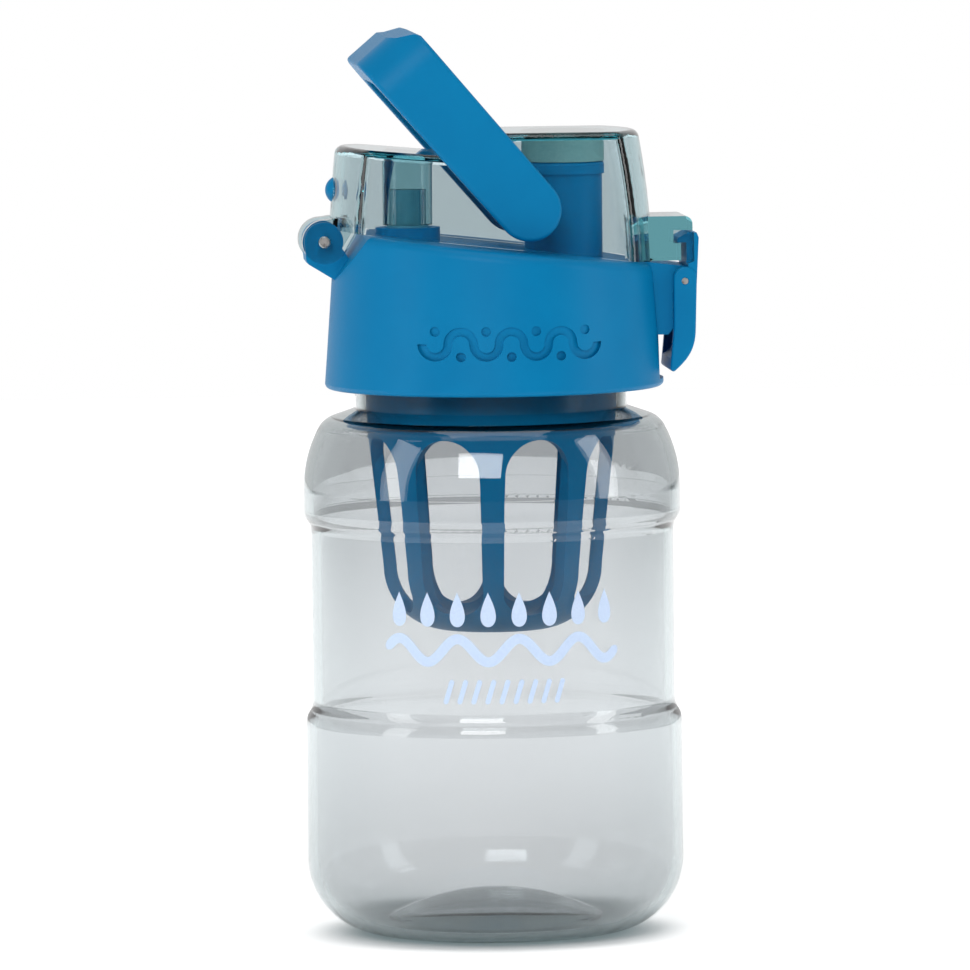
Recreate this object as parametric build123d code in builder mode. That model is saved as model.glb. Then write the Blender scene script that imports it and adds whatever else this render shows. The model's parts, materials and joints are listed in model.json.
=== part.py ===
from build123d import *

import os
from math import cos, radians, sin, tan

# A rigid 400 ml drinking bottle: clear shell with a screw neck, strainer basket, screw cap with a
# slanted deck, clear flip cover on a hinge pin, rocker latch, spout and a carry handle.
# Origin: centre of the base on the bottle's axis. +Z up, hinge at -X, latch at +X.

# ---- driving dimensions, millimetres ------------------------------------------------------------
BODY_R = 38.0             # bottle body, outside
WAIST_R = 36.6            # recessed grip band between the two steps
SHELL_WALL = 1.9
BASE_CORNER_R = 15.15
STEP_LOW = (42.5, 47.0)   # height where the lower step starts and ends
STEP_HIGH = (81.2, 85.4)
SHOULDER_Z = 89.5
SHOULDER_R = 26.7         # radius of the arc that starts the shoulder
SHOULDER_TURN = 27.9      # degrees of that arc
SHOULDER_EDGE_R = 5.0
SHOULDER_SLOPE = 19.0     # degrees of the cone below the neck
PUNT_HEIGHT = 6.4         # how far the base is pushed up at its centre
NECK_R = 27.35
NECK_TOP = 127.0

THREAD_PITCH = 4.0
THREAD_TURNS = 1.75
THREAD_START = 113.5
THREAD_DEPTH = 1.2
THREAD_ROOT_W = 1.9
THREAD_CREST_W = 0.9

BASKET_NECK_R = 25.2
BASKET_WALL = 2.5
BASKET_FLOOR = 61.2
RIB_COUNT = 8
RIB_TOP_W = 5.0
RIB_LOW_W = 3.8
BASKET_TURN = -4.3        # degrees

COLLAR_X = 0.7            # the collar's skirt sits a little towards the latch
COLLAR_LOW = 110.0
COLLAR_LOW_R = 34.15
COLLAR_TOP_R = 31.5       # of the cone, before the slanted cut
COLLAR_CONE_H = 36.0
COLLAR_EDGE_R = 2.2
DECK_Z = 138.55           # height of the slanted deck on the axis
DECK_SLOPE = 0.114        # fall of the deck towards +X
DECK_THICK = 2.6
CHAMFER_POINT = (-31.7, 132.0)
CHAMFER_ANGLE = 56.0      # degrees from level
INSERT_R = 30.4           # inner cap, outside
INSERT_BORE_R = 28.75
INSERT_LOW = 111.5
INSERT_DECK = (129.4, 131.2)

HINGE_X, HINGE_Z = -33.7, 139.9
EAR_R = 4.45
EAR_Y = (4.6, 8.0)
KNUCKLE_R = 3.9
KNUCKLE_Y = (2.5, 4.3)
PIN_R = 1.15
PIN_HALF_LENGTH = 7.8
PIN_RECESS = (1.75, 0.6)  # radius and depth of the hollow round each pin end

LATCH_X, LATCH_Z = 38.5, 131.2
LATCH_HALF_W = 10.0
LATCH_INNER_HALF_W = 8.3
LATCH_PIN_R = 0.65

SPOUT_X = 14.9
SPOUT_R = 7.85
SPOUT_BORE_R = 5.3
SPOUT_RIM_R = 8.3
SPOUT_RIM_H = 2.5
SPOUT_TOP = 155.3
VENT_X = -16.5

FLAT_Y = 17.0             # the cover's flat front and back
COVER_SECTIONS = (        # height, right wall, left wall
    (133.0, 32.8, -32.5),
    (145.0, 32.2, -32.0),
    (164.0, 29.5, -30.2),
)
COVER_WALL = 2.1
COVER_TOP_T = 1.7
COVER_CORNER_R = 3.4      # between the round wall and the flats
COVER_HIGH = 161.6
COVER_STEP_X = -1.0
LOW_TOP_Z = 156.3         # low level, height on the axis
LOW_TOP_SLOPE = 0.09

PIVOT_X, PIVOT_Z = 6.4, 146.5
HANDLE_ANGLE = 49.3       # degrees above level, leaning towards -X
HANDLE_REACH = 44.3
HANDLE_INNER = 38.5
HANDLE_HALF_W = 6.35      # at the pivot; the loop widens towards the crossbar
HANDLE_TOP_HALF_W = 6.75
HANDLE_Y = (17.9, 22.4)
HANDLE_EDGE_R = 0.8
GRIP_START = 27.4         # along the arms, where the soft grip begins
STUB_R = 3.2

GLYPH_COUNT = 7
GLYPH_R = 2.5
GLYPH_STROKE = 1.7
ENGRAVE_DEPTH = 0.6
MOTIF_Z = 120.5

os.makedirs("parts", exist_ok=True)


def level(z):
    """The horizontal plane at height z."""
    return Plane.XY.offset(z)


def deck_plane(drop=0.0):
    """The collar's slanted top, lowered by drop."""
    return Plane(origin=(0, 0, DECK_Z - drop), x_dir=(1, 0, -DECK_SLOPE), z_dir=(DECK_SLOPE, 0, 1))


def chamfer_plane(depth=0.0):
    """The sloping cut at the hinge side of the collar, moved inwards by depth."""
    normal = (-sin(radians(CHAMFER_ANGLE)), 0, cos(radians(CHAMFER_ANGLE)))
    origin = (CHAMFER_POINT[0] - depth * normal[0], 0, CHAMFER_POINT[1] - depth * normal[2])
    return Plane(origin=origin, x_dir=(0, 1, 0), z_dir=normal)


def across(y):
    """A plane facing -Y at distance y, with local x along X and local y along Z."""
    return Plane(origin=(0, y, 0), x_dir=(1, 0, 0), z_dir=(0, -1, 0))


def thread_ridge(radius, start, outward):
    """A helical ridge on a wall of the given radius; outward is +1 for a neck, -1 for a cap."""
    root = -0.3 * outward
    crest = THREAD_DEPTH * outward
    with BuildPart() as ridge:
        with BuildLine() as path:
            Helix(THREAD_PITCH, THREAD_PITCH * THREAD_TURNS, radius, center=(0, 0, start))
        helix = path.edges()[0]
        with BuildSketch(Plane(origin=helix @ 0, x_dir=(1, 0, 0), z_dir=helix % 0)):
            with BuildLine():
                Polyline(
                    (root, -THREAD_ROOT_W / 2),
                    (crest, -THREAD_CREST_W / 2),
                    (crest, THREAD_CREST_W / 2),
                    (root, THREAD_ROOT_W / 2),
                    close=True,
                )
            make_face()
        sweep(path=path.wires()[0], is_frenet=True)
    return ridge.part


def step_arcs(start, end):
    """Two equal tangent arcs from one vertical wall to another."""
    middle = ((start[0] + end[0]) / 2, (start[1] + end[1]) / 2)
    TangentArc(start, middle, tangent=(0, 1))
    TangentArc(end, middle, tangent=(0, -1))


def bottle_body(inset, neck_r, top):
    """The bottle's solid of revolution, moved inwards by inset."""
    turn = radians(SHOULDER_TURN)
    slope = radians(SHOULDER_SLOPE)
    arc_x = BODY_R - SHOULDER_R
    edge_x = arc_x + (SHOULDER_R - SHOULDER_EDGE_R) * cos(turn)
    edge_z = SHOULDER_Z + (SHOULDER_R - SHOULDER_EDGE_R) * sin(turn)
    edge_r = SHOULDER_EDGE_R - inset
    cone_top = (edge_x + edge_r * sin(slope), edge_z + edge_r * cos(slope))
    neck_low = (neck_r, cone_top[1] + (cone_top[0] - neck_r) * tan(slope))
    body_r = BODY_R - inset
    waist_r = WAIST_R - inset
    corner_r = BASE_CORNER_R - inset
    ring_x = BODY_R - BASE_CORNER_R
    punt_top = (0, PUNT_HEIGHT + inset)
    punt_edge = (ring_x - 1.9, 0.8 + 0.9 * inset)
    ring_in = (ring_x - 1.0, inset)
    with BuildPart() as body:
        with BuildSketch(Plane.XZ):
            with BuildLine():
                TangentArc(punt_top, punt_edge, tangent=(1, 0))
                Line(punt_edge, ring_in)
                Line(ring_in, (ring_x, inset))
                CenterArc((ring_x, BASE_CORNER_R), corner_r, -90, 90)
                Line((body_r, BASE_CORNER_R), (body_r, STEP_LOW[0]))
                step_arcs((body_r, STEP_LOW[0]), (waist_r, STEP_LOW[1]))
                Line((waist_r, STEP_LOW[1]), (waist_r, STEP_HIGH[0]))
                step_arcs((waist_r, STEP_HIGH[0]), (body_r, STEP_HIGH[1]))
                Line((body_r, STEP_HIGH[1]), (body_r, SHOULDER_Z))
                CenterArc((arc_x, SHOULDER_Z), SHOULDER_R - inset, 0, SHOULDER_TURN)
                CenterArc((edge_x, edge_z), edge_r, SHOULDER_TURN, 90 - SHOULDER_SLOPE - SHOULDER_TURN)
                Line(cone_top, neck_low)
                Line(neck_low, (neck_r, top))
                Line((neck_r, top), (0, top))
                Line((0, top), punt_top)
            make_face()
        revolve(axis=Axis.Z)
    return body.part


def cover_body(inset, low_drop, high_drop, floor_gap):
    """The cover's closed outline: a leaning round wall with two flats and a two-level top."""
    with BuildPart() as body:
        for height, right, left in COVER_SECTIONS:
            with BuildSketch(level(height)) as section:
                with Locations(((right + left) / 2, 0)):
                    Circle((right - left) / 2 - inset)
                Rectangle(90, 2 * (FLAT_Y - inset), mode=Mode.INTERSECT)
                fillet(section.vertices(), COVER_CORNER_R - inset)
        loft()
        with BuildSketch(across(-FLAT_Y + inset)):
            with BuildLine():
                Polyline(
                    (-45, 120),
                    (-45, low_top(-45) - low_drop),
                    (COVER_STEP_X - 2.4 + inset, low_top(COVER_STEP_X - 2.4) - low_drop),
                    (COVER_STEP_X + inset, COVER_HIGH - high_drop),
                    (45, COVER_HIGH - high_drop),
                    (45, 120),
                    close=True,
                )
            make_face()
        extrude(amount=-2 * (FLAT_Y - inset), mode=Mode.INTERSECT)
        split(bisect_by=deck_plane(-floor_gap), keep=Keep.TOP)
    return body.part


def low_top(x):
    """Height of the cover's low level at x."""
    return LOW_TOP_Z - LOW_TOP_SLOPE * x


# ---- clear bottle shell ---------------------------------------------------------------------------
bottle_thread = thread_ridge(NECK_R, THREAD_START, 1)
bottle_outside = bottle_body(0, NECK_R, NECK_TOP)
bottle_inside = bottle_body(SHELL_WALL, NECK_R - SHELL_WALL, NECK_TOP + 5)

with BuildPart() as bottle_shell:
    add(bottle_outside)
    add(bottle_inside, mode=Mode.SUBTRACT)
    fillet(bottle_shell.faces().sort_by(Axis.Z)[-1].edges(), 0.5)
    add(bottle_thread)

# ---- strainer basket, hung from the neck rim ---------------------------------------------------------
BASKET_CORNER_R = 13.0
BASKET_LOW_R = 22.0
BASKET_MID_Z = 100.0
BASKET_MID_R = 24.75
ARCH_TOP = 100.5
ARCH_R = 6.8
SILL_Z = 65.2
FLANGE_T = 1.0

with BuildPart() as basket_windows:
    with BuildSketch(Plane.YZ):
        with Locations((0, (SILL_Z + ARCH_TOP) / 2)):
            RectangleRounded(2 * ARCH_R, ARCH_TOP - SILL_Z, ARCH_R - 0.05)
    extrude(amount=40)

with BuildPart() as basket_ribs:
    with BuildSketch(Plane.YZ):
        with BuildLine():
            Polyline(
                (-RIB_TOP_W / 2, ARCH_TOP + 1),
                (RIB_TOP_W / 2, ARCH_TOP + 1),
                (RIB_LOW_W / 2, BASKET_FLOOR - 1),
                (-RIB_LOW_W / 2, BASKET_FLOOR - 1),
                close=True,
            )
        make_face()
    extrude(amount=40)

with BuildPart() as basket_gaps:
    with PolarLocations(0, RIB_COUNT, start_angle=180 / RIB_COUNT):
        add(basket_windows.part)
    with PolarLocations(0, RIB_COUNT):
        add(basket_ribs.part, mode=Mode.SUBTRACT)

with BuildPart() as strainer_basket:
    with BuildSketch(Plane.XZ):
        with BuildLine():
            corner = (BASKET_LOW_R - BASKET_CORNER_R, BASKET_FLOOR + BASKET_CORNER_R)
            Line((0, BASKET_FLOOR), (corner[0], BASKET_FLOOR))
            CenterArc(corner, BASKET_CORNER_R, -90, 90)
            Polyline(
                (BASKET_LOW_R, corner[1]),
                (BASKET_MID_R, BASKET_MID_Z),
                (BASKET_NECK_R, ARCH_TOP + 6),
                (BASKET_NECK_R, NECK_TOP),
                (NECK_R, NECK_TOP),
                (NECK_R, NECK_TOP + FLANGE_T),
                (BASKET_NECK_R - BASKET_WALL, NECK_TOP + FLANGE_T),
                (BASKET_NECK_R - BASKET_WALL, ARCH_TOP + 6),
                (BASKET_MID_R - BASKET_WALL, BASKET_MID_Z),
                (BASKET_LOW_R - BASKET_WALL, corner[1]),
            )
            CenterArc(corner, BASKET_CORNER_R - BASKET_WALL, 0, -90)
            Polyline(
                (corner[0], BASKET_FLOOR + BASKET_WALL),
                (0, BASKET_FLOOR + BASKET_WALL),
                (0, BASKET_FLOOR),
            )
        make_face()
    revolve(axis=Axis.Z)
    with PolarLocations(0, 1, start_angle=BASKET_TURN - 90):
        add(basket_gaps.part, mode=Mode.SUBTRACT)
    with PolarLocations(5.5, 6):
        Hole(1.2)

# ---- inner threaded cap ----------------------------------------------------------------------------------
cap_thread = thread_ridge(INSERT_BORE_R, THREAD_START + THREAD_PITCH / 2, -1)
VALVE_STEM_R = 1.3

with BuildPart() as cap_insert:
    with Locations((0, 0, INSERT_LOW)):
        Cylinder(INSERT_R, INSERT_DECK[1] - INSERT_LOW, align=(Align.CENTER, Align.CENTER, Align.MIN))
        Cylinder(
            INSERT_BORE_R,
            INSERT_DECK[0] - INSERT_LOW,
            align=(Align.CENTER, Align.CENTER, Align.MIN),
            mode=Mode.SUBTRACT,
        )
    chamfer(cap_insert.faces().sort_by(Axis.Z)[-1].edges(), 2.0)
    with Locations((SPOUT_X, 0, INSERT_DECK[1])):
        Hole(SPOUT_BORE_R)
    with Locations((VENT_X, 0, INSERT_DECK[1])):
        Hole(VALVE_STEM_R)
        with PolarLocations(2.9, 6):
            Hole(0.6)
    add(cap_thread)

# ---- outer collar of the cap ---------------------------------------------------------------------------------
with BuildPart() as collar_cavity:
    with Locations((0, 0, 100)):
        Cylinder(INSERT_R, 50, align=(Align.CENTER, Align.CENTER, Align.MIN))
    split(bisect_by=deck_plane(DECK_THICK), keep=Keep.BOTTOM)
    split(bisect_by=chamfer_plane(DECK_THICK - 0.2), keep=Keep.BOTTOM)

BRACKET_HALF_W = 8.1
BRACKET_LOW = 120.4
BRACKET_FRONT = 36.2
FOOT_HALF_W = KNUCKLE_Y[1]
LATCH_BOSS_R = 1.3
SPRING_POCKET_Z = 125.0
SPRING_POCKET_R = 2.2
VENT_BOSS_R = 6.5
VENT_BOSS_TOP = 142.4

with BuildPart() as hinge_bracket:
    with BuildSketch(across(FOOT_HALF_W)):
        with BuildLine():
            Polyline(
                (HINGE_X - 3.8, HINGE_Z - 1.0),
                (HINGE_X - 3.5, HINGE_Z - 3.9),
                (HINGE_X - 3.0, HINGE_Z - 4.6),
                (HINGE_X + 2.2, HINGE_Z - 7.8),
                (HINGE_X + 4.4, HINGE_Z - 8.6),
                (HINGE_X + 5.4, HINGE_Z - 4.0),
                (HINGE_X + 3.4, HINGE_Z - 1.0),
                close=True,
            )
        make_face()
    extrude(amount=2 * FOOT_HALF_W)
    with BuildSketch(across(FOOT_HALF_W)):
        with Locations((HINGE_X, HINGE_Z)):
            Circle(KNUCKLE_R)
    extrude(amount=2 * FOOT_HALF_W)
    with BuildSketch(across(KNUCKLE_Y[0])):
        with Locations((HINGE_X, HINGE_Z)):
            Circle(KNUCKLE_R + 0.3)
    extrude(amount=2 * KNUCKLE_Y[0], mode=Mode.SUBTRACT)
    with BuildSketch(across(FOOT_HALF_W)):
        with Locations((HINGE_X, HINGE_Z)):
            Circle(PIN_R + 0.02)
    extrude(amount=2 * FOOT_HALF_W, mode=Mode.SUBTRACT)

with BuildPart() as latch_bracket:
    with BuildSketch(across(BRACKET_HALF_W)):
        with BuildLine():
            Polyline(
                (30.0, BRACKET_LOW),
                (35.2, BRACKET_LOW),
                (BRACKET_FRONT, BRACKET_LOW + 1.2),
                (BRACKET_FRONT, LATCH_Z - 2.0),
                (LATCH_X, LATCH_Z - LATCH_BOSS_R),
                (LATCH_X, 140.0),
                (30.0, 140.0),
                close=True,
            )
        make_face()
        with Locations((LATCH_X, LATCH_Z)):
            Circle(LATCH_BOSS_R)
    extrude(amount=2 * BRACKET_HALF_W)
    split(bisect_by=deck_plane(), keep=Keep.BOTTOM)

with BuildPart() as motif:
    with BuildSketch(across(-20)):
        for glyph in range(GLYPH_COUNT):
            glyph_x = 1.5 + 2 * GLYPH_R * (glyph - (GLYPH_COUNT - 1) / 2)
            side = 1 if glyph % 2 else -1
            with Locations((glyph_x, MOTIF_Z)):
                with BuildSketch(mode=Mode.PRIVATE) as glyph_ring:
                    Circle(GLYPH_R + GLYPH_STROKE / 2)
                    Circle(GLYPH_R - GLYPH_STROKE / 2, mode=Mode.SUBTRACT)
                    with Locations((0, -side * 5)):
                        Rectangle(20, 10, mode=Mode.SUBTRACT)
                add(glyph_ring.sketch)
            with Locations((glyph_x, MOTIF_Z - side * GLYPH_R)):
                Circle(GLYPH_STROKE / 2 + 0.1)
    extrude(amount=20)

MOTIF_WALL_R = COLLAR_LOW_R - (COLLAR_LOW_R - COLLAR_TOP_R) * (MOTIF_Z - COLLAR_LOW) / COLLAR_CONE_H

with BuildPart() as motif_depth:
    with Locations((COLLAR_X, 0, MOTIF_Z)):
        Cylinder(50, 20)
        Cylinder(MOTIF_WALL_R - ENGRAVE_DEPTH, 20, mode=Mode.SUBTRACT)
    add(motif.part, mode=Mode.INTERSECT)

with BuildPart() as cap_collar:
    with Locations((COLLAR_X, 0, COLLAR_LOW)):
        Cone(
            COLLAR_LOW_R,
            COLLAR_TOP_R,
            COLLAR_CONE_H,
            align=(Align.CENTER, Align.CENTER, Align.MIN),
        )
    split(bisect_by=deck_plane(), keep=Keep.BOTTOM)
    split(bisect_by=chamfer_plane(), keep=Keep.BOTTOM)
    deck_face = cap_collar.faces().filter_by(lambda f: f.normal_at().Z > 0.95)[0]
    fillet(deck_face.edges(), COLLAR_EDGE_R)
    fillet(cap_collar.faces().sort_by(Axis.Z)[0].edges(), 1.0)
    with Locations((VENT_X, 0, VENT_BOSS_TOP)):
        Cylinder(VENT_BOSS_R, 5, align=(Align.CENTER, Align.CENTER, Align.MAX))
    add(hinge_bracket.part)
    add(latch_bracket.part)
    add(collar_cavity.part, mode=Mode.SUBTRACT)
    with Locations((SPOUT_X, 0, DECK_Z)):
        Hole(SPOUT_R + 0.1)
    with Locations((VENT_X, 0, VENT_BOSS_TOP)):
        Hole(1.6)
    with BuildSketch(across(LATCH_HALF_W + 0.4)):
        with Locations((33.2, BRACKET_LOW)):
            Rectangle(6, BRACKET_LOW - COLLAR_LOW - 1.6, align=(Align.MIN, Align.MAX))
    extrude(amount=2 * LATCH_HALF_W + 0.8, mode=Mode.SUBTRACT)
    with BuildSketch(Plane.YZ.offset(34.6)):
        with Locations((0, SPRING_POCKET_Z)):
            Circle(SPRING_POCKET_R)
    extrude(amount=6, mode=Mode.SUBTRACT)
    with BuildSketch(across(BRACKET_HALF_W)):
        with Locations((LATCH_X, LATCH_Z)):
            Circle(LATCH_PIN_R)
    extrude(amount=2 * BRACKET_HALF_W, mode=Mode.SUBTRACT)
    add(motif_depth.part, mode=Mode.SUBTRACT)

# ---- seals and vent valve in the cap -------------------------------------------------------------------
FLANGE_Z = NECK_TOP + FLANGE_T

with BuildPart() as neck_seal:
    with Locations((0, 0, FLANGE_Z)):
        Cylinder(NECK_R, INSERT_DECK[0] - FLANGE_Z, align=(Align.CENTER, Align.CENTER, Align.MIN))
        Cylinder(
            BASKET_NECK_R - BASKET_WALL + 0.4,
            INSERT_DECK[0] - FLANGE_Z,
            align=(Align.CENTER, Align.CENTER, Align.MIN),
            mode=Mode.SUBTRACT,
        )

with BuildPart() as vent_valve:
    with Locations((VENT_X, 0, INSERT_DECK[0] - 0.8)):
        Cylinder(4.3, 0.8, align=(Align.CENTER, Align.CENTER, Align.MIN))
        Cylinder(VALVE_STEM_R, 3.4, align=(Align.CENTER, Align.CENTER, Align.MIN))
    with Locations((VENT_X, 0, INSERT_DECK[1])):
        Cone(2.1, 1.5, 0.9, align=(Align.CENTER, Align.CENTER, Align.MIN))

SPOUT_FLANGE_R = 9.0
GASKET_T = 0.8
SPOUT_FOOT = INSERT_DECK[1] + GASKET_T

with BuildPart() as spout_gasket:
    with Locations((SPOUT_X, 0, INSERT_DECK[1])):
        Cylinder(SPOUT_FLANGE_R, GASKET_T, align=(Align.CENTER, Align.CENTER, Align.MIN))
        Cylinder(
            SPOUT_BORE_R,
            GASKET_T,
            align=(Align.CENTER, Align.CENTER, Align.MIN),
            mode=Mode.SUBTRACT,
        )

with BuildPart() as spout:
    with Locations((SPOUT_X, 0, SPOUT_FOOT)):
        Cylinder(SPOUT_FLANGE_R, 0.8, align=(Align.CENTER, Align.CENTER, Align.MIN))
        Cylinder(SPOUT_R, SPOUT_TOP - SPOUT_FOOT, align=(Align.CENTER, Align.CENTER, Align.MIN))
    with Locations((SPOUT_X, 0, SPOUT_TOP - SPOUT_RIM_H)):
        Cylinder(SPOUT_RIM_R, SPOUT_RIM_H, align=(Align.CENTER, Align.CENTER, Align.MIN))
    fillet(spout.edges().group_by(Axis.Z)[-1], 0.7)
    with Locations((SPOUT_X, 0, SPOUT_TOP)):
        Hole(SPOUT_BORE_R)
    fillet(spout.edges().group_by(Axis.Z)[-1], 0.4)

# ---- hinge pin and its torsion spring -----------------------------------------------------------------
with BuildPart() as hinge_pin:
    with BuildSketch(across(PIN_HALF_LENGTH)):
        with Locations((HINGE_X, HINGE_Z)):
            Circle(PIN_R)
    extrude(amount=2 * PIN_HALF_LENGTH)
    chamfer(hinge_pin.edges().filter_by(GeomType.CIRCLE), 0.2)

COIL_R = 2.2
COIL_WIRE_R = 0.32
COIL_PITCH = 0.95
COIL_TURNS = 4

with BuildPart() as hinge_spring:
    with BuildLine() as coil_path:
        Helix(
            COIL_PITCH,
            COIL_PITCH * COIL_TURNS,
            COIL_R,
            center=(HINGE_X, -COIL_PITCH * COIL_TURNS / 2, HINGE_Z),
            direction=(0, 1, 0),
        )
    coil = coil_path.edges()[0]
    with BuildSketch(Plane(origin=coil @ 0, z_dir=coil % 0)):
        Circle(COIL_WIRE_R)
    sweep(path=coil_path.wires()[0], is_frenet=True)

# ---- rocker latch with its pin and spring -----------------------------------------------------------------
HOOK_TOP = 140.9
HOOK_UNDER = 138.8
HOOK_TIP_X = 37.3
HOOK_HALF_W = 6.0
STRIP_LEFT, STRIP_RIGHT = 40.42, 41.35
LEVER_EDGE_R = 0.4
CATCH_LOW, CATCH_TOP = 135.3, 144.2

with BuildPart() as latch_lever:
    with BuildSketch(across(LATCH_HALF_W)):
        with BuildLine():
            ThreePointArc((36.2, 131.7), (38.55, 134.05), (40.9, 131.7))
            Line((40.9, 131.7), (40.6, 121.5))
            Bezier((40.6, 121.5), (40.5, 118.0), (39.5, 115.9), (36.5, 113.3))
            ThreePointArc((36.5, 113.3), (35.8, 113.1), (35.4, 113.7))
            Line((35.4, 113.7), (36.2, 122.0))
            Line((36.2, 122.0), (36.2, 131.7))
        make_face()
    extrude(amount=2 * LATCH_HALF_W)
    cheeks = latch_lever.faces().filter_by(Axis.Y)
    fillet(cheeks.edges(), LEVER_EDGE_R)
    with BuildSketch(across(LATCH_INNER_HALF_W)):
        with BuildLine():
            Polyline(
                (33.0, 136.0),
                (39.3, 136.0),
                (39.1, 131.2),
                (38.9, 121.5),
                (38.2, 118.8),
                (36.8, 116.6),
                (33.0, 113.4),
                close=True,
            )
        make_face()
    extrude(amount=2 * LATCH_INNER_HALF_W, mode=Mode.SUBTRACT)
    with BuildSketch(across(LATCH_HALF_W - LEVER_EDGE_R)):
        with BuildLine():
            Polyline(
                (39.2, 130.2),
                (40.85, 130.2),
                (STRIP_RIGHT, HOOK_TOP - 1.0),
                (STRIP_RIGHT - 0.4, HOOK_TOP),
                (STRIP_LEFT, HOOK_TOP),
                (STRIP_LEFT, CATCH_LOW - 0.15),
                (39.2, CATCH_LOW - 0.65),
                close=True,
            )
        make_face()
    extrude(amount=2 * (LATCH_HALF_W - LEVER_EDGE_R))
    with BuildSketch(across(HOOK_HALF_W)):
        with BuildLine():
            Polyline(
                (39.2, 130.2),
                (40.8, 130.2),
                (STRIP_RIGHT - 0.4, HOOK_TOP),
                (39.6, HOOK_TOP - 0.1),
                (HOOK_TIP_X + 0.3, HOOK_UNDER + 1.0),
                (HOOK_TIP_X, HOOK_UNDER + 0.6),
                (HOOK_TIP_X, HOOK_UNDER),
                (39.1, HOOK_UNDER),
                close=True,
            )
        make_face()
    extrude(amount=2 * HOOK_HALF_W)
    with BuildSketch(across(LATCH_INNER_HALF_W)):
        with Locations((LATCH_X, LATCH_Z)):
            Circle(LATCH_BOSS_R + 0.25)
    extrude(amount=2 * LATCH_INNER_HALF_W, mode=Mode.SUBTRACT)
    with BuildSketch(across(LATCH_HALF_W)):
        with Locations((LATCH_X, LATCH_Z)):
            Circle(LATCH_PIN_R + 0.05)
    extrude(amount=2 * LATCH_HALF_W, mode=Mode.SUBTRACT)

with BuildPart() as latch_pin:
    with BuildSketch(across(LATCH_HALF_W - 0.1)):
        with Locations((LATCH_X, LATCH_Z)):
            Circle(LATCH_PIN_R)
    extrude(amount=2 * (LATCH_HALF_W - 0.1))

LATCH_SPRING_X = (34.9, 37.8)
LATCH_COIL_R = 1.5

with BuildPart() as latch_spring:
    with BuildLine() as latch_path:
        Helix(
            0.9,
            LATCH_SPRING_X[1] - LATCH_SPRING_X[0],
            LATCH_COIL_R,
            center=(LATCH_SPRING_X[0], 0, SPRING_POCKET_Z),
            direction=(1, 0, 0),
        )
    latch_coil = latch_path.edges()[0]
    with BuildSketch(Plane(origin=latch_coil @ 0, z_dir=latch_coil % 0)):
        Circle(0.25)
    sweep(path=latch_path.wires()[0], is_frenet=True)

# ---- clear flip cover ----------------------------------------------------------------------------------------
COVER_GAP = 0.2           # above the deck
COVER_EDGE_R = 1.8
POST_R = 5.0
POST_HEIGHT = 13.7
PLUG_R = 2.45
PLUG_TOP = 150.0
PLUG_FOOT = 0.5
STOP_R = 2.9              # domed stop button in the hinge side of the wall
STOP_X, STOP_Z = -30.1, 150.0
STOP_STEM_R = 1.2
STOP_HEAD = (-29.2, 1.9, 0.7)   # where the inner head starts, its radius and thickness
SEAL_TOP = COVER_HIGH - COVER_TOP_T
SEAL_STUD_R = 2.4
SEAL_STUD_TOP = 160.8
CATCH_HALF_W = 8.7
CATCH_LEFT, CATCH_RIGHT = 31.2, 40.2
CATCH_EDGE_R = 1.6
NOTCH_HALF_W = 6.3        # of the catch, round the lever's hook
TONGUE_X = 38.0

cover_outside = cover_body(0, 0, 0, COVER_GAP)
cover_inside = cover_body(COVER_WALL, COVER_TOP_T, COVER_TOP_T, -5)

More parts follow.
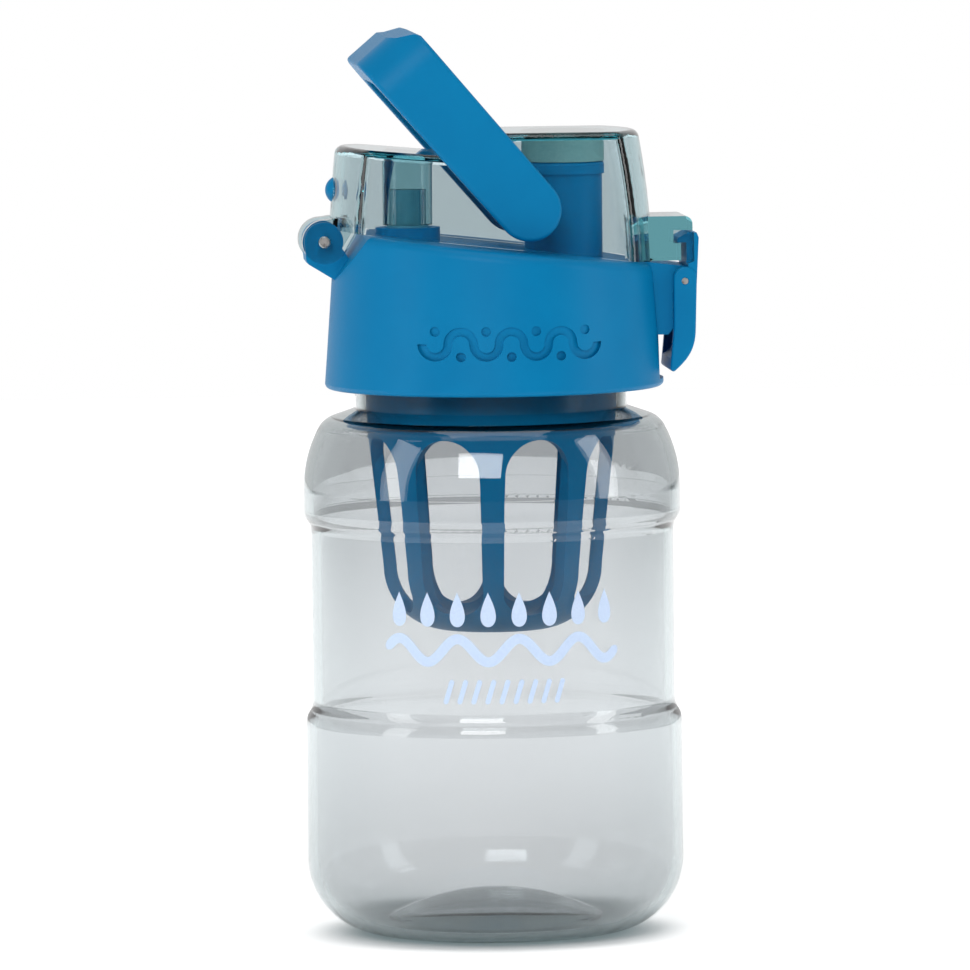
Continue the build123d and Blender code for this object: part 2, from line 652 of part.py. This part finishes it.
with BuildPart() as cover_shell:
    add(cover_outside)
    crown = cover_shell.faces().filter_by(lambda f: f.normal_at().Z > 0.5 and f.center().Z > 150)
    fillet(crown.edges(), COVER_EDGE_R)
    add(cover_inside, mode=Mode.SUBTRACT)
    with Locations((STOP_X, 0, STOP_Z)):
        Cylinder(STOP_STEM_R + 0.05, 8, rotation=(0, 90, 0), mode=Mode.SUBTRACT)
    with Locations((VENT_X, 0, VENT_BOSS_TOP + PLUG_FOOT)):
        Cylinder(POST_R, POST_HEIGHT, align=(Align.CENTER, Align.CENTER, Align.MIN))
        Cylinder(
            PLUG_R,
            PLUG_TOP - VENT_BOSS_TOP - PLUG_FOOT,
            align=(Align.CENTER, Align.CENTER, Align.MIN),
            mode=Mode.SUBTRACT,
        )
    with Locations((SPOUT_X, 0, SEAL_TOP)):
        Cylinder(
            SEAL_STUD_R,
            SEAL_STUD_TOP - SEAL_TOP,
            align=(Align.CENTER, Align.CENTER, Align.MIN),
            mode=Mode.SUBTRACT,
        )
    for near, far in ((EAR_Y[1], EAR_Y[0]), (-EAR_Y[0], -EAR_Y[1])):
        with BuildSketch(across(near)):
            with Locations((HINGE_X, HINGE_Z)):
                Circle(EAR_R)
            with BuildLine():
                Polyline(
                    (HINGE_X, HINGE_Z + EAR_R),
                    (-31.0, HINGE_Z + EAR_R + 0.4),
                    (-28.5, HINGE_Z + EAR_R + 0.4),
                    (-27.1, 141.9),
                    (-30.2, 136.8),
                    (HINGE_X, HINGE_Z),
                    close=True,
                )
            make_face()
        extrude(amount=near - far)
    with BuildSketch(across(EAR_Y[0])):
        with Locations((HINGE_X, HINGE_Z)):
            Circle(KNUCKLE_R + 0.8)
    extrude(amount=2 * EAR_Y[0], mode=Mode.SUBTRACT)
    with BuildSketch(across(EAR_Y[1])):
        with Locations((HINGE_X, HINGE_Z)):
            Circle(PIN_R + 0.05)
    extrude(amount=2 * EAR_Y[1], mode=Mode.SUBTRACT)
    for near in (EAR_Y[1], PIN_RECESS[1] - EAR_Y[1]):
        with BuildSketch(across(near)):
            with Locations((HINGE_X, HINGE_Z)):
                Circle(PIN_RECESS[0])
        extrude(amount=PIN_RECESS[1], mode=Mode.SUBTRACT)
    with BuildSketch(across(CATCH_HALF_W)):
        with BuildLine():
            FilletPolyline(
                (CATCH_LEFT, CATCH_TOP),
                (CATCH_RIGHT, CATCH_TOP),
                (CATCH_RIGHT, CATCH_LOW),
                radius=CATCH_EDGE_R,
            )
            Line((CATCH_RIGHT, CATCH_LOW), (CATCH_LEFT, CATCH_LOW))
            Line((CATCH_LEFT, CATCH_LOW), (CATCH_LEFT, CATCH_TOP))
        make_face()
    extrude(amount=2 * CATCH_HALF_W)
    with BuildSketch(across(NOTCH_HALF_W)):
        with BuildLine():
            Polyline(
                (HOOK_TIP_X - 0.8, HOOK_TOP + 0.4),
                (CATCH_RIGHT + 1, HOOK_TOP + 0.4),
                (CATCH_RIGHT + 1, CATCH_LOW - 1),
                (TONGUE_X, CATCH_LOW - 1),
                (TONGUE_X, HOOK_UNDER - 0.1),
                (HOOK_TIP_X - 0.8, HOOK_UNDER - 0.1),
                close=True,
            )
        make_face()
    extrude(amount=2 * NOTCH_HALF_W, mode=Mode.SUBTRACT)
    with BuildSketch(across(FLAT_Y)):
        with Locations((PIVOT_X, PIVOT_Z)):
            Circle(STUB_R + 0.08)
    extrude(amount=2 * FLAT_Y, mode=Mode.SUBTRACT)

with BuildPart() as cover_stop:
    with Locations((STOP_X, 0, STOP_Z)):
        Sphere(STOP_R)
    add(cover_outside, mode=Mode.SUBTRACT)
    with Locations((STOP_X - 2, 0, STOP_Z)):
        Cylinder(
            STOP_STEM_R,
            STOP_HEAD[0] - STOP_X + 2.2,
            rotation=(0, 90, 0),
            align=(Align.CENTER, Align.CENTER, Align.MIN),
        )
    with Locations((STOP_HEAD[0], 0, STOP_Z)):
        Cylinder(
            STOP_HEAD[1],
            STOP_HEAD[2],
            rotation=(0, 90, 0),
            align=(Align.CENTER, Align.CENTER, Align.MIN),
        )

with BuildPart() as vent_plug:
    with Locations((VENT_X, 0, VENT_BOSS_TOP)):
        Cylinder(4.2, PLUG_FOOT, align=(Align.CENTER, Align.CENTER, Align.MIN))
        Cylinder(PLUG_R, PLUG_TOP - VENT_BOSS_TOP, align=(Align.CENTER, Align.CENTER, Align.MIN))

with BuildPart() as spout_seal:
    with Locations((SPOUT_X, 0, SPOUT_TOP)):
        Cylinder(SPOUT_RIM_R, SEAL_TOP - SPOUT_TOP, align=(Align.CENTER, Align.CENTER, Align.MIN))
        Cylinder(SEAL_STUD_R, SEAL_STUD_TOP - SPOUT_TOP, align=(Align.CENTER, Align.CENTER, Align.MIN))
    with Locations((SPOUT_X, 0, SPOUT_TOP - 1.5)):
        Cone(3.4, 4.2, 1.6, align=(Align.CENTER, Align.CENTER, Align.MIN))

# ---- carry handle ----------------------------------------------------------------------------------------------
lean = (-cos(radians(HANDLE_ANGLE)), 0, sin(radians(HANDLE_ANGLE)))
broad = (sin(radians(HANDLE_ANGLE)), 0, cos(radians(HANDLE_ANGLE)))
handle_front = Plane(origin=(PIVOT_X, 0, PIVOT_Z), x_dir=lean, z_dir=broad)
handle_side = Plane(origin=(PIVOT_X, 0, PIVOT_Z), x_dir=lean, z_dir=(0, 1, 0))
LOOP_CORNER_R = 9.0
ARM_T = HANDLE_Y[1] - HANDLE_Y[0]
STUB_END = FLAT_Y - COVER_WALL - 0.7
STUB_HEAD = FLAT_Y - COVER_WALL - 0.1

with BuildPart() as handle_blank:
    with BuildSketch(handle_front):
        with BuildLine():
            FilletPolyline(
                (-8, -HANDLE_Y[1]),
                (HANDLE_REACH, -HANDLE_Y[1]),
                (HANDLE_REACH, HANDLE_Y[1]),
                (-8, HANDLE_Y[1]),
                radius=LOOP_CORNER_R,
            )
            Line((-8, HANDLE_Y[1]), (-8, HANDLE_Y[0]))
            FilletPolyline(
                (-8, HANDLE_Y[0]),
                (HANDLE_INNER, HANDLE_Y[0]),
                (HANDLE_INNER, -HANDLE_Y[0]),
                (-8, -HANDLE_Y[0]),
                radius=LOOP_CORNER_R - ARM_T,
            )
            Line((-8, -HANDLE_Y[0]), (-8, -HANDLE_Y[1]))
        make_face()
    extrude(amount=2 * HANDLE_HALF_W, both=True)
    with BuildSketch(handle_side):
        with BuildLine():
            ThreePointArc((0, -HANDLE_HALF_W), (-HANDLE_HALF_W, 0), (0, HANDLE_HALF_W))
            Polyline(
                (0, HANDLE_HALF_W),
                (HANDLE_REACH + 5, HANDLE_TOP_HALF_W),
                (HANDLE_REACH + 5, -HANDLE_TOP_HALF_W),
                (0, -HANDLE_HALF_W),
            )
        make_face()
    extrude(amount=40, both=True, mode=Mode.INTERSECT)
    fillet(handle_blank.edges(), HANDLE_EDGE_R)
    with BuildSketch(handle_side):
        with BuildLine():
            FilletPolyline(
                (HANDLE_REACH + 3, 0.4),
                (HANDLE_REACH, 1.4),
                (HANDLE_REACH - 1.2, 2.8),
                (HANDLE_REACH - 2.8, 5.9),
                (HANDLE_REACH - 5.5, HANDLE_TOP_HALF_W + 0.9),
                radius=1.2,
            )
            Polyline(
                (HANDLE_REACH - 5.5, HANDLE_TOP_HALF_W + 0.9),
                (HANDLE_REACH + 3, HANDLE_TOP_HALF_W + 0.9),
                (HANDLE_REACH + 3, 0.4),
            )
        make_face()
    extrude(amount=40, both=True, mode=Mode.SUBTRACT)

with BuildPart() as grip_zone:
    with BuildSketch(handle_side):
        with BuildLine():
            Polyline(
                (GRIP_START - 0.3, 10),
                (GRIP_START, 5.4),
                (GRIP_START + 0.9, 3.1),
                (GRIP_START + 1.7, 2.8),
                (HANDLE_REACH + 2, 1.9),
                (HANDLE_REACH + 2, 10),
                close=True,
            )
        make_face()
    extrude(amount=40, both=True)

with BuildPart() as handle_loop:
    add(handle_blank.part)
    add(grip_zone.part, mode=Mode.SUBTRACT)
    for near, far in ((HANDLE_Y[0] + 0.5, STUB_END), (-STUB_END, -HANDLE_Y[0] - 0.5)):
        with BuildSketch(across(near)):
            with Locations((PIVOT_X, PIVOT_Z)):
                Circle(STUB_R)
        extrude(amount=near - far)
    for near, far in ((STUB_HEAD, STUB_END), (-STUB_END, -STUB_HEAD)):
        with BuildSketch(across(near)):
            with Locations((PIVOT_X, PIVOT_Z)):
                Circle(STUB_R + 0.5)
        extrude(amount=near - far)

with BuildPart() as handle_grip:
    add(handle_blank.part)
    add(grip_zone.part, mode=Mode.INTERSECT)

# ---- labels and files ---------------------------------------------------------------------------------------------
pieces = {
    "bottle_shell": bottle_shell,
    "strainer_basket": strainer_basket,
    "cap_collar": cap_collar,
    "cap_insert": cap_insert,
    "neck_seal": neck_seal,
    "vent_valve": vent_valve,
    "spout_gasket": spout_gasket,
    "spout": spout,
    "hinge_pin": hinge_pin,
    "hinge_spring": hinge_spring,
    "latch_lever": latch_lever,
    "latch_pin": latch_pin,
    "latch_spring": latch_spring,
    "cover_shell": cover_shell,
    "spout_seal": spout_seal,
    "vent_plug": vent_plug,
    "cover_stop": cover_stop,
    "handle_loop": handle_loop,
    "handle_grip": handle_grip,
}
for name, piece in pieces.items():
    piece.part.label = name
    export_step(piece.part, f"parts/{name}.step")
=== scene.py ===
"""Looks for the clear drinking bottle: camera, studio light, materials and the printed motif."""

import json
from math import cos, pi, radians, sin, sqrt

import bmesh
import bpy
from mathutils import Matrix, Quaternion, Vector


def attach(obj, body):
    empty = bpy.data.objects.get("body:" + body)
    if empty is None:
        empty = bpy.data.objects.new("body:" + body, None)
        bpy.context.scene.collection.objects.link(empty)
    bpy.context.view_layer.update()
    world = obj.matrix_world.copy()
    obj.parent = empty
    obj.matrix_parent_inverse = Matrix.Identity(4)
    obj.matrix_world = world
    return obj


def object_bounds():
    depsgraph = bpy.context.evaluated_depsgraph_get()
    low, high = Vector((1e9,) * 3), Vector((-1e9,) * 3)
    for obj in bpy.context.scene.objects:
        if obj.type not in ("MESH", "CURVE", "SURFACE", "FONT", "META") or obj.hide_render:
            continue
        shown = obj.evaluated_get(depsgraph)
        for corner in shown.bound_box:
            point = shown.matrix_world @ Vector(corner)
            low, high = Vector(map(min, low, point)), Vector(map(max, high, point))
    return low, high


MM = 0.001

# ---- frame ---------------------------------------------------------------------------------------
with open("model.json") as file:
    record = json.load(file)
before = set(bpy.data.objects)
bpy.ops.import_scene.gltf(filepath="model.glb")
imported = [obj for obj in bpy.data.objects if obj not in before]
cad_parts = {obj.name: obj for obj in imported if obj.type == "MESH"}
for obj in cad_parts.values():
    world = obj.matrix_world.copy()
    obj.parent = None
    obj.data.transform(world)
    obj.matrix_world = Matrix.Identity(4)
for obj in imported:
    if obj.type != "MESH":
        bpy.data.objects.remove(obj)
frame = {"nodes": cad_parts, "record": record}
cad_low, cad_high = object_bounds()
nodes = frame["nodes"]
scene = bpy.context.scene

# ---- camera --------------------------------------------------------------------------------------
CAMERA_AZIMUTH = -4.6     # degrees, 0 looks along +Y
CAMERA_ELEVATION = 4.35
CAMERA_ROLL = 0.6
CAMERA_DISTANCE = 2.2     # metres
VIEW_WIDTH = 0.1954       # metres across the picture at the object
AIM = Vector((-1.4 * MM, 0.0, 90.1 * MM))


def make_camera():
    azimuth = radians(CAMERA_AZIMUTH)
    elevation = radians(CAMERA_ELEVATION)
    back = Vector((sin(azimuth) * cos(elevation), -cos(azimuth) * cos(elevation), sin(elevation)))
    data = bpy.data.cameras.new("camera")
    data.sensor_width = 36.0
    data.lens = data.sensor_width * CAMERA_DISTANCE / VIEW_WIDTH
    data.clip_start = 0.05
    data.clip_end = 60.0
    camera = bpy.data.objects.new("camera", data)
    scene.collection.objects.link(camera)
    camera.location = AIM + CAMERA_DISTANCE * back
    turn = back.to_track_quat("Z", "Y")
    camera.rotation_euler = (turn @ Quaternion((0, 0, 1), radians(-CAMERA_ROLL))).to_euler()
    scene.camera = camera


# ---- light and floor -----------------------------------------------------------------------------
def make_world():
    world = bpy.data.worlds.new("studio")
    scene.world = world
    world.use_nodes = True
    tree = world.node_tree
    tree.nodes.clear()
    out = tree.nodes.new("ShaderNodeOutputWorld")
    seen = tree.nodes.new("ShaderNodeBackground")
    seen.inputs["Color"].default_value = (1, 1, 1, 1)
    seen.inputs["Strength"].default_value = 1.0
    around = tree.nodes.new("ShaderNodeBackground")
    coords = tree.nodes.new("ShaderNodeTexCoord")
    split = tree.nodes.new("ShaderNodeSeparateXYZ")
    depth = tree.nodes.new("ShaderNodeMapRange")
    depth.inputs["From Min"].default_value = -0.3
    depth.inputs["From Max"].default_value = 0.88
    depth.inputs["To Min"].default_value = 0.07
    depth.inputs["To Max"].default_value = 1.0
    path = tree.nodes.new("ShaderNodeLightPath")
    mix = tree.nodes.new("ShaderNodeMixShader")
    link = tree.links.new
    link(coords.outputs["Generated"], split.inputs[0])
    link(split.outputs["Y"], depth.inputs["Value"])
    link(depth.outputs["Result"], around.inputs["Strength"])
    link(path.outputs["Is Camera Ray"], mix.inputs[0])
    link(around.outputs[0], mix.inputs[1])
    link(seen.outputs[0], mix.inputs[2])
    link(mix.outputs[0], out.inputs["Surface"])


def softbox(name, place, size, watts, colour=(1, 1, 1)):
    data = bpy.data.lights.new(name, "AREA")
    data.shape = "RECTANGLE"
    data.size, data.size_y = size
    data.energy = watts
    data.color = colour
    lamp = bpy.data.objects.new(name, data)
    scene.collection.objects.link(lamp)
    lamp.location = place
    aim = Vector((0, 0, 0.1)) - Vector(place)
    lamp.rotation_euler = aim.to_track_quat("-Z", "Y").to_euler()
    return lamp


FLOOR_HALF_W = 2.0        # metres, as are the next sizes
FLOOR_BACK = 1.6
FLOOR_GAP = 0.0002
FLOOR_GLOW = 0.85
# each fade: where it is full, where it ends, and what is left there
FLOOR_SIDE_FADE = (0.45, 1.2, 0.15)
FLOOR_FRONT_FADE = (-0.08, -1.2, 0.05)
# painted shadow under the base and painted shade around it: the floor's glow is dimmed by distance
# from the base
UNDER_BASE_PAINTED_SHADOW = (0.042, 0.026, 0.0)
NEAR_BASE_PAINTED_SHADE = (0.5, 0.08, 0.6)


def make_floor():
    mesh = bpy.data.meshes.new("floor")
    form = bmesh.new()
    corners = (
        (-FLOOR_HALF_W, -FLOOR_HALF_W),
        (FLOOR_HALF_W, -FLOOR_HALF_W),
        (FLOOR_HALF_W, FLOOR_BACK),
        (-FLOOR_HALF_W, FLOOR_BACK),
    )
    form.faces.new([form.verts.new((x, y, 0.0)) for x, y in corners])
    form.to_mesh(mesh)
    form.free()
    floor = bpy.data.objects.new("floor", mesh)
    scene.collection.objects.link(floor)
    floor.location.z = cad_low.z - FLOOR_GAP
    mesh.materials.append(floor_material())


# ---- node helpers --------------------------------------------------------------------------------
def new_material(name):
    material = bpy.data.materials.new(name)
    material.use_nodes = True
    tree = material.node_tree
    tree.nodes.clear()
    out = tree.nodes.new("ShaderNodeOutputMaterial")
    shader = tree.nodes.new("ShaderNodeBsdfPrincipled")
    tree.links.new(shader.outputs[0], out.inputs["Surface"])
    return material, tree, shader, out


def set_inputs(node, **values):
    for key, value in values.items():
        node.inputs[key.replace("_", " ")].default_value = value


def noise(tree, scale, detail=2.0, stretch=(1, 1, 1)):
    coords = tree.nodes.new("ShaderNodeTexCoord")
    mapping = tree.nodes.new("ShaderNodeMapping")
    mapping.inputs["Scale"].default_value = stretch
    grain = tree.nodes.new("ShaderNodeTexNoise")
    set_inputs(grain, Scale=scale, Detail=detail)
    tree.links.new(coords.outputs["Object"], mapping.inputs["Vector"])
    tree.links.new(mapping.outputs[0], grain.inputs["Vector"])
    return grain.outputs["Fac"]


def spread(tree, value, low, high):
    """Maps a 0 to 1 value to low to high."""
    mapped = tree.nodes.new("ShaderNodeMapRange")
    set_inputs(mapped, From_Min=0.3, From_Max=0.7, To_Min=low, To_Max=high)
    tree.links.new(value, mapped.inputs["Value"])
    return mapped.outputs["Result"]


def mix_colours(tree, value, low, high):
    ramp = tree.nodes.new("ShaderNodeValToRGB")
    ramp.color_ramp.elements[0].position = 0.3
    ramp.color_ramp.elements[0].color = (*low, 1)
    ramp.color_ramp.elements[1].position = 0.7
    ramp.color_ramp.elements[1].color = (*high, 1)
    tree.links.new(value, ramp.inputs["Fac"])
    return ramp.outputs["Color"]


def bump(tree, shader, height, distance, strength=1.0):
    node = tree.nodes.new("ShaderNodeBump")
    set_inputs(node, Strength=strength, Distance=distance)
    tree.links.new(height, node.inputs["Height"])
    tree.links.new(node.outputs[0], shader.inputs["Normal"])


def see_through_shadow(tree, shader, out, tint):
    """Light passes the clear plastic instead of stopping at it as a hard shadow."""
    path = tree.nodes.new("ShaderNodeLightPath")
    clear = tree.nodes.new("ShaderNodeBsdfTransparent")
    clear.inputs["Color"].default_value = (*tint, 1)
    mix = tree.nodes.new("ShaderNodeMixShader")
    tree.links.new(path.outputs["Is Shadow Ray"], mix.inputs[0])
    tree.links.new(shader.outputs[0], mix.inputs[1])
    tree.links.new(clear.outputs[0], mix.inputs[2])
    tree.links.new(mix.outputs[0], out.inputs["Surface"])


def absorb(tree, out, colour, density):
    volume = tree.nodes.new("ShaderNodeVolumeAbsorption")
    volume.inputs["Color"].default_value = (*colour, 1)
    volume.inputs["Density"].default_value = density
    tree.links.new(volume.outputs[0], out.inputs["Volume"])


# ---- materials -----------------------------------------------------------------------------------
def clear_plastic(name, surface, absorption, density, shadow, roughness):
    material, tree, shader, out = new_material(name)
    set_inputs(shader, Roughness=roughness, IOR=1.52, Transmission_Weight=1.0)
    shader.inputs["Base Color"].default_value = (*surface, 1)
    absorb(tree, out, absorption, density)
    see_through_shadow(tree, shader, out, shadow)
    return material


def blue_plastic():
    material, tree, shader, _ = new_material("blue_plastic")
    cloud = noise(tree, 90.0, 3.0)
    grain = noise(tree, 4200.0, 2.0)
    tint = mix_colours(tree, cloud, (0.0, 0.180, 0.400), (0.0, 0.195, 0.425))
    tree.links.new(tint, shader.inputs["Base Color"])
    tree.links.new(spread(tree, grain, 0.36, 0.46), shader.inputs["Roughness"])
    set_inputs(shader, IOR=1.49, Specular_IOR_Level=0.12)
    bump(tree, shader, grain, 0.00003, 0.6)
    return material


def silicone(name, low, high):
    material, tree, shader, _ = new_material(name)
    grain = noise(tree, 1800.0, 2.0)
    tree.links.new(mix_colours(tree, grain, low, high), shader.inputs["Base Color"])
    set_inputs(shader, Roughness=0.45)
    bump(tree, shader, grain, 0.00004, 0.4)
    return material


def steel():
    material, tree, shader, _ = new_material("steel")
    drawn = noise(tree, 900.0, 2.0, (1, 0.05, 1))
    tint = mix_colours(tree, drawn, (0.56, 0.54, 0.53), (0.70, 0.67, 0.65))
    tree.links.new(tint, shader.inputs["Base Color"])
    tree.links.new(spread(tree, drawn, 0.22, 0.36), shader.inputs["Roughness"])
    set_inputs(shader, Metallic=1.0)
    bump(tree, shader, drawn, 0.00002, 0.5)
    return material


def print_ink():
    material, tree, shader, _ = new_material("print_ink")
    grain = noise(tree, 2500.0, 2.0)
    tint = mix_colours(tree, grain, (0.55, 0.68, 0.90), (0.60, 0.73, 0.95))
    tree.links.new(tint, shader.inputs["Base Color"])
    set_inputs(shader, Roughness=0.5)
    bump(tree, shader, grain, 0.00002, 0.3)
    return material


def faded(tree, value, start, end, low):
    """1 up to start, falling smoothly to low at end, along a value in metres."""
    fade = tree.nodes.new("ShaderNodeMapRange")
    fade.interpolation_type = "SMOOTHSTEP"
    set_inputs(fade, From_Min=start, From_Max=end, To_Min=1.0, To_Max=low)
    tree.links.new(value, fade.inputs["Value"])
    return fade.outputs["Result"]


def times(tree, first, second):
    product = tree.nodes.new("ShaderNodeMath")
    product.operation = "MULTIPLY"
    tree.links.new(first, product.inputs[0])
    if isinstance(second, float):
        product.inputs[1].default_value = second
    else:
        tree.links.new(second, product.inputs[1])
    return product.outputs[0]


def floor_material():
    """A pale glowing table with a painted shadow under the base and painted shade around it.

    The camera sees it white; what it sends to the bottle fades to the front and the sides.
    """
    material, tree, shader, _ = new_material("floor")
    set_inputs(shader, Roughness=0.7, Specular_IOR_Level=0.1)
    shader.inputs["Emission Color"].default_value = (1, 1, 1, 1)
    coords = tree.nodes.new("ShaderNodeTexCoord")
    split = tree.nodes.new("ShaderNodeSeparateXYZ")
    tree.links.new(coords.outputs["Object"], split.inputs[0])
    width = tree.nodes.new("ShaderNodeMath")
    width.operation = "ABSOLUTE"
    tree.links.new(split.outputs["X"], width.inputs[0])
    sides = faded(tree, width.outputs[0], *FLOOR_SIDE_FADE)
    front = faded(tree, split.outputs["Y"], *FLOOR_FRONT_FADE)
    path = tree.nodes.new("ShaderNodeLightPath")
    seen = tree.nodes.new("ShaderNodeMath")
    seen.operation = "MAXIMUM"
    tree.links.new(times(tree, sides, front), seen.inputs[0])
    tree.links.new(path.outputs["Is Camera Ray"], seen.inputs[1])
    lit = seen.outputs[0]
    distance = tree.nodes.new("ShaderNodeVectorMath")
    distance.operation = "LENGTH"
    tree.links.new(coords.outputs["Object"], distance.inputs[0])
    # painted shadow under the base and painted shade around it, set by distance from the base
    painted_shadow_under_base = faded(tree, distance.outputs["Value"], *UNDER_BASE_PAINTED_SHADOW)
    painted_shade_near_base = faded(tree, distance.outputs["Value"], *NEAR_BASE_PAINTED_SHADE)
    glow = times(tree, times(tree, lit, painted_shadow_under_base), times(tree, painted_shade_near_base, FLOOR_GLOW))
    tree.links.new(glow, shader.inputs["Emission Strength"])
    speckle = noise(tree, 40.0, 2.0)
    tone = tree.nodes.new("ShaderNodeVectorMath")
    tone.operation = "SCALE"
    tint = mix_colours(tree, speckle, (0.84, 0.84, 0.84), (0.86, 0.86, 0.86))
    tree.links.new(tint, tone.inputs[0])
    tree.links.new(lit, tone.inputs["Scale"])
    tree.links.new(tone.outputs[0], shader.inputs["Base Color"])
    return material


SHELL = clear_plastic(
    "clear_shell",
    surface=(0.87, 0.85, 0.86),
    absorption=(0.50, 0.61, 0.62),
    density=230.0,
    shadow=(0.76, 0.79, 0.79),
    roughness=0.015,
)
COVER = clear_plastic(
    "clear_cover",
    surface=(0.89, 0.875, 0.89),
    absorption=(0.50, 0.79, 0.82),
    density=200.0,
    shadow=(0.70, 0.80, 0.80),
    roughness=0.015,
)
BLUE = blue_plastic()
SILICONE = silicone("silicone", (0.20, 0.37, 0.37), (0.24, 0.41, 0.41))
PLUG_SILICONE = silicone("plug_silicone", (0.15, 0.39, 0.50), (0.18, 0.43, 0.54))
STEEL = steel()
INK = print_ink()

BY_SLOT = {
    "clear_shell": SHELL,
    "clear_cover": COVER,
    "blue_plastic": BLUE,
    "silicone": SILICONE,
    "steel": STEEL,
}


def dress_nodes():
    slot_of = {row["node"]: row["material_slot"] for row in frame["record"]["subparts"]}
    for name, node in nodes.items():
        node.data.materials.clear()
        node.data.materials.append(BY_SLOT[slot_of[name]])
    nodes["vent_plug"].data.materials[0] = PLUG_SILICONE


# ---- printed motif on the grip band --------------------------------------------------------------
WAIST_R = 36.6            # millimetres, as are the sizes below
PRINT_GAP = 0.03
PRINT_THICK = 0.03
PRINT_TIP = 0.02          # half width at the very end of a stroke
WAVE_SPAN = (-25.6, 23.8)
WAVE_COUNT = 4
WAVE_Z = 59.9
WAVE_HEIGHT = 2.3
WAVE_HALF_W = 1.0
WAVE_STEPS = 50           # per wave
DROP_Z = (64.6, 71.5)
DROP_R = 2.1
DROP_TAPER = 1.3
DROP_STEPS = 30
DASH_SPAN = (-12.0, 10.4)
DASH_COUNT = 9
DASH_Z = (49.2, 54.1)
DASH_LEAN = 1.5
DASH_HALF_W = 0.5
DASH_STEPS = 24


def stroke(form, points, half_widths):
    """A thin printed stroke on the round wall, along (distance round the wall, height) points."""
    rings = []
    last = len(points) - 1
    for index, (around, height) in enumerate(points):
        before = points[max(index - 1, 0)]
        after = points[min(index + 1, last)]
        run = Vector((after[0] - before[0], after[1] - before[1])).normalized()
        aside = Vector((-run.y, run.x)) * half_widths[index]
        ring = []
        for side, lift in ((-1, 0), (1, 0), (1, PRINT_THICK), (-1, PRINT_THICK)):
            radius = WAIST_R + PRINT_GAP + lift
            turn = (around + side * aside.x) / WAIST_R
            place = Vector((radius * sin(turn), -radius * cos(turn), height + side * aside.y))
            ring.append(form.verts.new(place * MM))
        rings.append(ring)
    for ring, following in zip(rings, rings[1:]):
        for corner in range(4):
            beside = (corner + 1) % 4
            form.faces.new((ring[corner], ring[beside], following[beside], following[corner]))
    form.faces.new(rings[0])
    form.faces.new(rings[-1])


def rounded(count, length, half_width):
    """Half widths along a stroke of that length with round ends."""
    widths = []
    for index in range(count):
        along = length * index / (count - 1)
        inward = min(along, length - along, half_width)
        widths.append(max(sqrt(half_width ** 2 - (half_width - inward) ** 2), PRINT_TIP))
    return widths


def printed(name, strokes):
    form = bmesh.new()
    for points, half_widths in strokes:
        stroke(form, points, half_widths)
    bmesh.ops.recalc_face_normals(form, faces=form.faces)
    mesh = bpy.data.meshes.new(name)
    form.to_mesh(mesh)
    form.free()
    mesh.materials.append(INK)
    piece = bpy.data.objects.new(name, mesh)
    scene.collection.objects.link(piece)
    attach(piece, "bottle")


def wave_strokes():
    start, end = WAVE_SPAN
    count = WAVE_STEPS * WAVE_COUNT + 1
    points = []
    for index in range(count):
        part = index / (count - 1)
        height = WAVE_Z + WAVE_HEIGHT * sin(2 * pi * WAVE_COUNT * part)
        points.append((start + (end - start) * part, height))
    return [(points, rounded(count, end - start, WAVE_HALF_W))]


def drop_strokes():
    start, end = WAVE_SPAN
    drops = []
    low, high = DROP_Z
    for number in range(2 * WAVE_COUNT):
        around = start + (end - start) * (number + 0.5) / (2 * WAVE_COUNT)
        points = []
        half_widths = []
        for index in range(DROP_STEPS + 1):
            turn = pi * index / DROP_STEPS
            fall = (1 - cos(turn)) / 2
            points.append((around, high + (low - high) * fall))
            half_widths.append(max(DROP_R * sin(turn) * sin(turn / 2) ** DROP_TAPER, PRINT_TIP))
        drops.append((points, half_widths))
    return drops


def dash_strokes():
    start, end = DASH_SPAN
    low, high = DASH_Z
    dashes = []
    for number in range(DASH_COUNT):
        around = start + (end - start) * number / (DASH_COUNT - 1)
        points = []
        for index in range(DASH_STEPS + 1):
            part = index / DASH_STEPS
            points.append((around + DASH_LEAN * (part - 0.5), low + (high - low) * part))
        dashes.append((points, rounded(DASH_STEPS + 1, high - low, DASH_HALF_W)))
    return dashes


# ---- scene ---------------------------------------------------------------------------------------
scene.view_settings.view_transform = "Standard"
scene.cycles.max_bounces = 32
scene.cycles.transmission_bounces = 28
scene.cycles.transparent_max_bounces = 28
scene.cycles.glossy_bounces = 8
make_camera()
make_world()
make_floor()
softbox("softbox_left", (-1.7, -0.7, 0.6), (0.6, 1.6), 8)
softbox("softbox_right", (1.7, -0.6, 0.6), (0.5, 1.6), 9)
softbox("softbox_front", (-0.5, -2.3, 1.3), (1.2, 1.0), 27)
softbox("softbox_top", (0.0, -0.3, 1.8), (1.4, 1.0), 9)
dress_nodes()
printed("print_wave", wave_strokes())
printed("print_drops", drop_strokes())
printed("print_dashes", dash_strokes())
